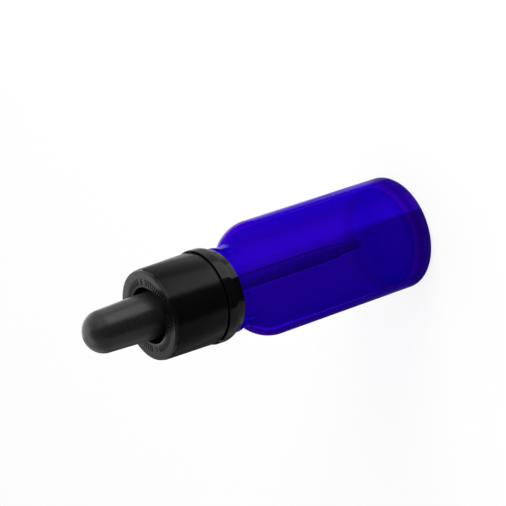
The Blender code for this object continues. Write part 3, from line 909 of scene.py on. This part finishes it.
# %% Turn the outer cap
CAP_RADIUS = cap_high.x
RIB_COUNT = 150
RIB_RISE = 0.2 * MM
RIB_HALF = 0.17 * MM
RIB_MARGIN = 0.5 * MM
RIB_ROOT = -0.4
RIB_SECTION = ((-1.0, RIB_ROOT), (-0.8, 0.95), (0.0, 1.0), (0.8, 0.95), (1.0, RIB_ROOT))
CAP_TAPER = 0.27 * MM
CAP_DROP = 0.35 * MM
CAP_EDGE = 0.35 * MM
HOLE_EDGE = 0.45 * MM
LUG_WIDTH = 2.2 * MM
LUG_RISE = 1.4 * MM
CAP_HOLE = 7.88 * MM
CAP_INSIDE = 11.8 * MM
HOOK = 11.05 * MM
HOOK_TOP = cap_low.z + 0.85 * MM
CEILING = cap_high.z - 1.5 * MM

wall_low = CAP_RADIUS - RIB_RISE
wall_high = wall_low - CAP_TAPER
cap_corners = [
    (HOOK, cap_low.z - CAP_DROP, CRISP),
    (wall_low, cap_low.z - CAP_DROP, TIGHT),
    (wall_high, cap_high.z, CAP_EDGE),
    (CAP_HOLE, cap_high.z, HOLE_EDGE),
    (CAP_HOLE, CEILING, FINE),
    (CAP_INSIDE, CEILING, SOFT),
    (CAP_INSIDE, HOOK_TOP, FINE),
    (HOOK, HOOK_TOP, SOFT),
]
cap = turned("outer_cap_shell", rounded(cap_corners, 5), CAP_BLACK)
finished(cap, "shell", "satin_black_plastic", "outer_cap")


def rib_mesh():
    """One upright rib at angle zero, with both ends sunk in the wall."""
    bm = bmesh.new()
    bottom = cap_low.z + RIB_MARGIN
    top = cap_high.z - RIB_MARGIN
    run = 3 * RIB_RISE
    rings = []
    for height, share in ((bottom, 0.0), (bottom + run, 1.0), (top - run, 1.0), (top, 0.0)):
        climbed = (height - cap_low.z) / (cap_high.z - cap_low.z)
        wall = wall_low - CAP_TAPER * climbed
        ring = []
        for across, rise in RIB_SECTION:
            lift = RIB_RISE * (rise * share + RIB_ROOT * (1.0 - share))
            ring.append(bm.verts.new((wall + lift, across * RIB_HALF, height)))
        rings.append(ring)
    bridged(bm, rings)
    return mesh_of(bm, "cap_ribs")


ribs = ringed("cap_ribs", rib_mesh(), RIB_COUNT, CAP_BLACK)
finished(ribs, "shell", "satin_black_plastic")

lug = (TOOTH_INNER, TOOTH_OUTER, CEILING - LUG_RISE, CEILING + SINK, LUG_WIDTH)
studs("cap_lugs", lug, CAP_BLACK, "shell", "satin_black_plastic", -LUG_WIDTH / 2, half_step)

# %% [markdown]
# The top of such a cap carries raised marks that tell the hand to push and turn. Plain ticks stand
# for them here, in four groups, with a small arrow head between two groups. They are about as long
# and as far apart as the real marks, so the light catches on the rim in the same way.

# %% Raise the marks on the cap's top
TICK_GROUPS = 4
TICKS_IN_GROUP = 14
TICK_STEP = math.radians(5.1)
TICK_WIDTH = 0.42 * MM
TICK_SOFT = 0.05 * MM
MARK_LOW = cap_high.z - 0.1 * MM
MARK_HIGH = cap_high.z + 0.16 * MM
ARROW_TIP = math.radians(-5.0)
ARROW_BACK = math.radians(-12.5)
ARROW_SOFT = 0.06 * MM
MARK_INNER = 8.6 * MM
MARK_OUTER = 10.4 * MM

tick = block("cap_ticks", MARK_INNER, MARK_OUTER, MARK_LOW, MARK_HIGH, TICK_WIDTH, soft=TICK_SOFT)
tick_group = ringed("cap_tick_group", tick, TICKS_IN_GROUP, CAP_BLACK, 0.0, TICK_STEP)
ticks = ringed("cap_ticks", tick_group.data, TICK_GROUPS, CAP_BLACK)
bpy.data.objects.remove(tick_group, do_unlink=True)
finished(ticks, "shell", "satin_black_plastic")


def arrow_mesh():
    """A flat arrow head that points round the cap, in the gap after a group of ticks."""
    bm = bmesh.new()
    middle = (MARK_INNER + MARK_OUTER) / 2
    half = (MARK_OUTER - MARK_INNER) / 2
    corners = ((middle, ARROW_TIP), (middle - half, ARROW_BACK), (middle + half, ARROW_BACK))
    rings = []
    for height in (MARK_LOW, MARK_HIGH):
        rings.append([bm.verts.new((r * math.cos(a), r * math.sin(a), height)) for r, a in corners])
    bridged(bm, rings)
    bevelled(bm, ARROW_SOFT, False)
    return mesh_of(bm, "cap_arrows", smooth=False)


arrows = ringed("cap_arrows", arrow_mesh(), TICK_GROUPS, CAP_BLACK)
finished(arrows, "shell", "satin_black_plastic")

# %% [markdown]
# The bulb is one soft hollow. Its flange is the gasket between lip and cap, its thick lower end
# grips the pipette, and the thin part above is squeezed. The flange stays and the dome moves.

# %% Turn the bulb
FLANGE = 8.95 * MM
FLANGE_TOP = bulb_low.z + 2.0 * MM
BULB_LOW_RADIUS = 6.74 * MM
BULB_HIGH_RADIUS = 5.93 * MM
BULB_WALL = 1.3 * MM
BULB_WALL_TOP = FLANGE_TOP + 20.8 * MM
BULB_DOME = 5.7 * MM
BULB_ROOT = 0.6 * MM
SEAT_EDGE = 0.5 * MM
GRIP = 2.95 * MM
SEAT = bulb_low.z + 4.9 * MM

narrowing = (BULB_LOW_RADIUS - BULB_HIGH_RADIUS) / (BULB_WALL_TOP - FLANGE_TOP)
seat_radius = BULB_LOW_RADIUS - narrowing * (SEAT - FLANGE_TOP) - BULB_WALL
dome_centre = (0.0, BULB_WALL_TOP)
bulb_outline = arc(dome_centre, BULB_HIGH_RADIUS, BULB_DOME, 90, 0, 32)
bulb_corners = [
    (BULB_HIGH_RADIUS, BULB_WALL_TOP, 0.0),
    (BULB_LOW_RADIUS, FLANGE_TOP, BULB_ROOT),
    (FLANGE, FLANGE_TOP, ROUND),
    (FLANGE, bulb_low.z, ROUND),
    (GRIP, bulb_low.z, SOFT),
    (GRIP, SEAT, FINE),
    (seat_radius, SEAT, SEAT_EDGE),
    (BULB_HIGH_RADIUS - BULB_WALL, BULB_WALL_TOP, 0.0),
]
bulb_outline += rounded(bulb_corners)[1:]
inner_dome = (BULB_HIGH_RADIUS - BULB_WALL, BULB_DOME - BULB_WALL)
bulb_outline += arc(dome_centre, *inner_dome, 0, 90, 24)[1:]
bulb = turned("rubber_bulb_teat", bulb_outline, RUBBER, steps=128, closed=False)
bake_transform(bulb)
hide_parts("rubber_bulb")

# %% [markdown]
# The pipette is a drawn glass tube. Its head is a fire-polished rim that the bulb holds, and its
# tip narrows over twelve millimetres to a bore of about one.

# %% Turn the pipette
TUBE = 2.65 * MM
TUBE_BORE = 1.85 * MM
HEAD = tube_high.x
HEAD_LOW = tube_high.z - 0.9 * MM
TAPER_START = tube_low.z + 12.0 * MM
TIP = 1.2 * MM
TIP_BORE = 0.55 * MM
TAPER_SOFT = 3.5 * MM
HEAD_EDGE = 0.35 * MM

tube_corners = [
    (TUBE_BORE, tube_high.z, HEAD_EDGE),
    (HEAD, tube_high.z, HEAD_EDGE),
    (HEAD, HEAD_LOW, ROUND),
    (TUBE, HEAD_LOW, ROUND),
    (TUBE, TAPER_START, TAPER_SOFT),
    (TIP, tube_low.z, SOFT),
    (TIP_BORE, tube_low.z, CRISP),
    (TUBE_BORE, TAPER_START, TAPER_SOFT),
]
tube = turned("pipette_tube", rounded(tube_corners, 8), CLEAR_GLASS, steps=72)
finished(tube, "dropper", "clear_glass", "glass_pipette")

# %% [markdown]
# The studio is a plain pale floor and soft lamps. The floor is white to the camera, and to rays
# that a shiny or clear surface sends on, by its Light Path, and a small part of it still takes
# light and shade, so the bottle's shadow stays on it.

# %% Lay the floor
FLOOR_HALF = 4.0
FLOOR_DROP = 0.3 * MM
FLOOR_GLOW = 0.85
FLOOR_WHITE = 0.87


def seen_directly(tree):
    """1 for camera, glossy and transmission rays, and 0 for light that a rough surface gathers."""
    path = tree.nodes.new("ShaderNodeLightPath").outputs
    total = path["Is Camera Ray"]
    for label in ("Is Glossy Ray", "Is Transmission Ray"):
        total = math_node(tree, "MAXIMUM", total, path[label])
    return total


def floor_finish():
    """Pale and white to look at, with a little real light and shade."""
    made, tree, shader, place = new_finish("pale_floor", (0.8, 0.8, 0.8), 0.9)
    tinted(tree, shader, marks(tree, place, 3.0), (0.79, 0.79, 0.79), (0.81, 0.81, 0.81))
    put(tree, shader, {"Specular IOR Level": 0.0})
    white = {"Color": (1.0, 1.0, 1.0), "Strength": FLOOR_WHITE / FLOOR_GLOW}
    share = product(tree, seen_directly(tree), FLOOR_GLOW)
    sources = {"Fac": share, 1: shader.outputs["BSDF"], 2: add(tree, "ShaderNodeEmission", white)}
    mixed = add(tree, "ShaderNodeMixShader", sources)
    put(tree, tree.nodes["Material Output"], {"Surface": mixed})
    return made


def lay_floor():
    """A large flat sheet of the stage, just under the bottle."""
    mesh = bpy.data.meshes.new("floor")
    reach = FLOOR_HALF
    corners = ((-reach, -reach), (reach, -reach), (reach, reach), (-reach, reach))
    mesh.from_pydata([(x, y, -FLOOR_DROP) for x, y in corners], [], [(0, 1, 2, 3)])
    mesh.materials.append(floor_finish())
    placed("floor", mesh)


lay_floor()

# %% [markdown]
# A black cap and a glass wall look like what they reflect, and standing walls seen from above
# reflect the floor. So a tent of grey cards stands round the bottle, as a photographer builds one:
# black in front, white behind to one side, and greys for the rest. Only reflections see the tent.
# Each row gives two azimuths and the grey of the ground, the wall and the roof between them. The
# middle of the roof is dark. A small ring round the near half of the neck takes half of the ground's
# greys, in the same order, for the foot of the band to reflect.
#
# One more card lies on the floor under and behind the bottle, and only light that has come through
# the glass sees it. It is a painted shadow: it makes one half of the glass darker, standing in for
# the bottle's own shadow seen through the glass. Each row of its edge gives a place across, a
# place along and the edge's softness, in millimetres. A faint strip of painted shade beyond the
# edge leaves a brighter painted band between the two, as the photograph has.

# %% Stand the cards
TENT = (
    (-180.0, -125.0, 0.1, 0.5, 0.9),
    (-125.0, -95.0, 0.3, 0.3, 0.3),
    (-95.0, -45.0, 0.22, 0.2, 0.15),
    (-45.0, 25.0, 0.01, 0.0, 0.0),
    (25.0, 70.0, 0.9, 0.45, 0.2),
    (70.0, 95.0, 0.4, 0.4, 0.3),
    (95.0, 125.0, 0.6, 0.5, 0.4),
    (125.0, 136.0, 0.35, 0.9, 1.0),
    (136.0, 152.0, 0.75, 0.9, 1.0),
    (152.0, 180.0, 1.0, 1.0, 1.0),
)
TENT_NEAR = 14.0 * MM
TENT_FAR = 600.0 * MM
TENT_HEIGHT = 550.0 * MM
ROOF_NEAR = 170.0 * MM
ROOF_MIDDLE = 0.02
NECK_NEAR = 11.7 * MM
NECK_FAR = 14.2 * MM
NECK_HEIGHT = 63.2 * MM
NECK_SHARE = 0.5
CARD_TURN = 10.0
CARD_DROP = 0.2 * MM
MOTTLE_SCALE = 4.0
MOTTLE = (0.96, 1.04)
# The painted shadow card, seen only through the glass.
SHADOW_GREY = 0.46
SHADOW_FAR = -23.0
SHADOW_EDGE = ((4.2, -15.0, 0.0), (4.2, 8.0, 0.5), (1.6, 80.0, 3.4), (0.0, 125.0, 5.0))
SHADOW_SOFT = ((1.0, 0.86), (0.4, 0.72), (-0.2, 0.58), (-1.0, SHADOW_GREY))
FAINT_STRIP = ((14.5, 0.93), (12.6, 0.85), (10.0, 0.93), (8.6, 1.0))
FAINT_LEAN = 0.012


def card_finish():
    """A glow as strong as each face's own grey, with a faint mottle."""
    made, tree, _, place = new_finish("card_grey", (0.5, 0.5, 0.5), 1.0)
    level = add(tree, "ShaderNodeAttribute", output="Fac", attribute_name="level")
    mottle = spread(tree, marks(tree, place, MOTTLE_SCALE), *MOTTLE)
    glow = add(tree, "ShaderNodeEmission", {"Strength": product(tree, mottle, level)})
    put(tree, tree.nodes["Material Output"], {"Surface": glow})
    return made


def card(name, points, faces, levels, kind):
    """A part of the stage with a grey for each face, seen by one kind of ray alone."""
    mesh = bpy.data.meshes.new(name)
    mesh.from_pydata(points, [], faces)
    mesh.attributes.new("level", "FLOAT", "FACE").data.foreach_set("value", levels)
    mesh.materials.append(CARD_GREY)
    made = placed(name, mesh)
    for ray in ("camera", "diffuse", "glossy", "transmission", "volume_scatter", "shadow"):
        setattr(made, "visible_" + ray, ray == kind)


def around(angle, radius, height):
    """A point round the bottle; angle 0 is the side the photograph was taken from."""
    return (radius * math.sin(angle), -radius * math.cos(angle), height)


def tent():
    """The ring of cards, a few degrees at a time: ground, wall and roof, and the ring by the neck."""
    points, faces, levels = [], [], []
    profile = (
        (TENT_NEAR, 0.0),
        (TENT_FAR, 0.0),
        (TENT_FAR, TENT_HEIGHT),
        (ROOF_NEAR, TENT_HEIGHT),
        (MM, TENT_HEIGHT),
    )
    for first, last, *greys in TENT:
        steps = max(2, round((last - first) / CARD_TURN))
        for step in range(steps):
            start = len(points)
            for share in (step / steps, (step + 1) / steps):
                angle = math.radians(first + (last - first) * share)
                for radius, height in profile:
                    points.append(around(angle, radius, height - CARD_DROP))
                for radius in (NECK_NEAR, NECK_FAR):
                    points.append(around(angle / 2, radius, NECK_HEIGHT))
            wide = len(profile) + 2
            for strip in (*range(len(profile) - 1), len(profile)):
                near, after = start + strip, start + strip + wide
                faces.append((near, near + 1, after + 1, after))
            levels += [*greys, ROOF_MIDDLE, greys[0] * NECK_SHARE]
    card("tent", points, faces, levels, "glossy")


def shadow_card_behind():
    """The painted shadow: the faint strip, the soft edge and the plain grey, as strips between lines
    along the floor.
    """
    lines = []
    for x, _ in FAINT_STRIP:
        lines.append([(x + FAINT_LEAN * y, y) for _, y, _ in SHADOW_EDGE])
    for share, _ in SHADOW_SOFT:
        lines.append([(x + share * soft, y) for x, y, soft in SHADOW_EDGE])
    lines.append([(SHADOW_FAR, y) for _, y, _ in SHADOW_EDGE])
    points = [(x * MM, y * MM, -CARD_DROP) for line in lines for x, y in line]
    step = len(SHADOW_EDGE)
    faces, levels = [], []
    for line, (_, grey) in enumerate(FAINT_STRIP + SHADOW_SOFT):
        first = line * step
        for near in range(first, first + step - 1):
            faces.append((near, near + 1, near + step + 1, near + step))
            levels.append(grey)
    card("shadow_card_behind", points, faces, levels, "transmission")


CARD_GREY = card_finish()
tent()
# A painted shadow, seen only through the glass.
shadow_card_behind()
print("tent of", len(TENT), "greys, and a grey card behind")

# %% [markdown]
# The world is white where it is looked at, and dimmer as a source of light, so the lamps shape the
# object. A lamp here is a soft square panel that faces the middle of the bottle.

# %% Light the studio
AIM = Vector((0.0, 0.0, 52.0 * MM))
WORLD_LIGHT = 0.35


def set_world():
    """White where it is looked at, dim where it only gives light."""
    world = bpy.data.worlds.new("studio")
    world.use_nodes = True
    bpy.context.scene.world = world
    tree = world.node_tree
    strength = stretched(tree, seen_directly(tree), 0.0, 1.0, WORLD_LIGHT, 1.0)
    put(tree, tree.nodes["Background"], {"Color": (1.0, 1.0, 1.0), "Strength": strength})


def soft_lamp(name, azimuth, elevation, distance, size, power):
    """A square panel; azimuth 0 is the side the photograph was taken from, 90 is +X."""
    turn = math.radians(azimuth)
    climb = math.radians(elevation)
    toward = Vector(around(turn, math.cos(climb), math.sin(climb)))
    light = bpy.data.lights.new(name, "AREA")
    light.shape = "SQUARE"
    light.size = size
    light.energy = power
    lamp = placed(name, light)
    lamp.location = AIM + toward * distance
    lamp.rotation_euler = toward.to_track_quat("Z", "Y").to_euler()
    lamp.visible_glossy = False


set_world()
soft_lamp("key", 55.0, 32.0, 0.6, 0.35, 3.2)
soft_lamp("overhead", 160.0, 75.0, 0.9, 0.8, 4.0)

# %% [markdown]
# The photograph looks down on the standing bottle from 33 degrees and is rolled until the bottle
# seems to lie down. Its place came from fitting the outline of the object with a long lens.

# %% Set the camera
TILT = 0.997
ROLL = -1.8924
DISTANCE = 0.646426
LENS = 165.07
SENSOR = 36.0
CLIP = 0.01
MIDDLE = Vector((0.0, 0.0, 45.0 * MM))
MOVE_RIGHT = -5.6234 * MM
MOVE_UP = 5.6518 * MM

back = Vector((0.0, -math.sin(TILT), math.cos(TILT)))
level_up = Vector((0.0, math.cos(TILT), math.sin(TILT)))
level_right = Vector((1.0, 0.0, 0.0))
right = level_right * math.cos(ROLL) + level_up * math.sin(ROLL)
up = level_up * math.cos(ROLL) - level_right * math.sin(ROLL)
eye = MIDDLE + right * MOVE_RIGHT + up * MOVE_UP + back * DISTANCE

lens = bpy.data.cameras.new("photograph")
lens.sensor_width = SENSOR
lens.lens = LENS
lens.clip_start = CLIP
camera = placed("photograph", lens)
pose = Matrix((right, up, back)).transposed().to_4x4()
pose.translation = eye
camera.matrix_world = pose
bpy.context.scene.camera = camera
bpy.context.scene.view_settings.view_transform = "Standard"
print("camera at", [round(v, 4) for v in eye])
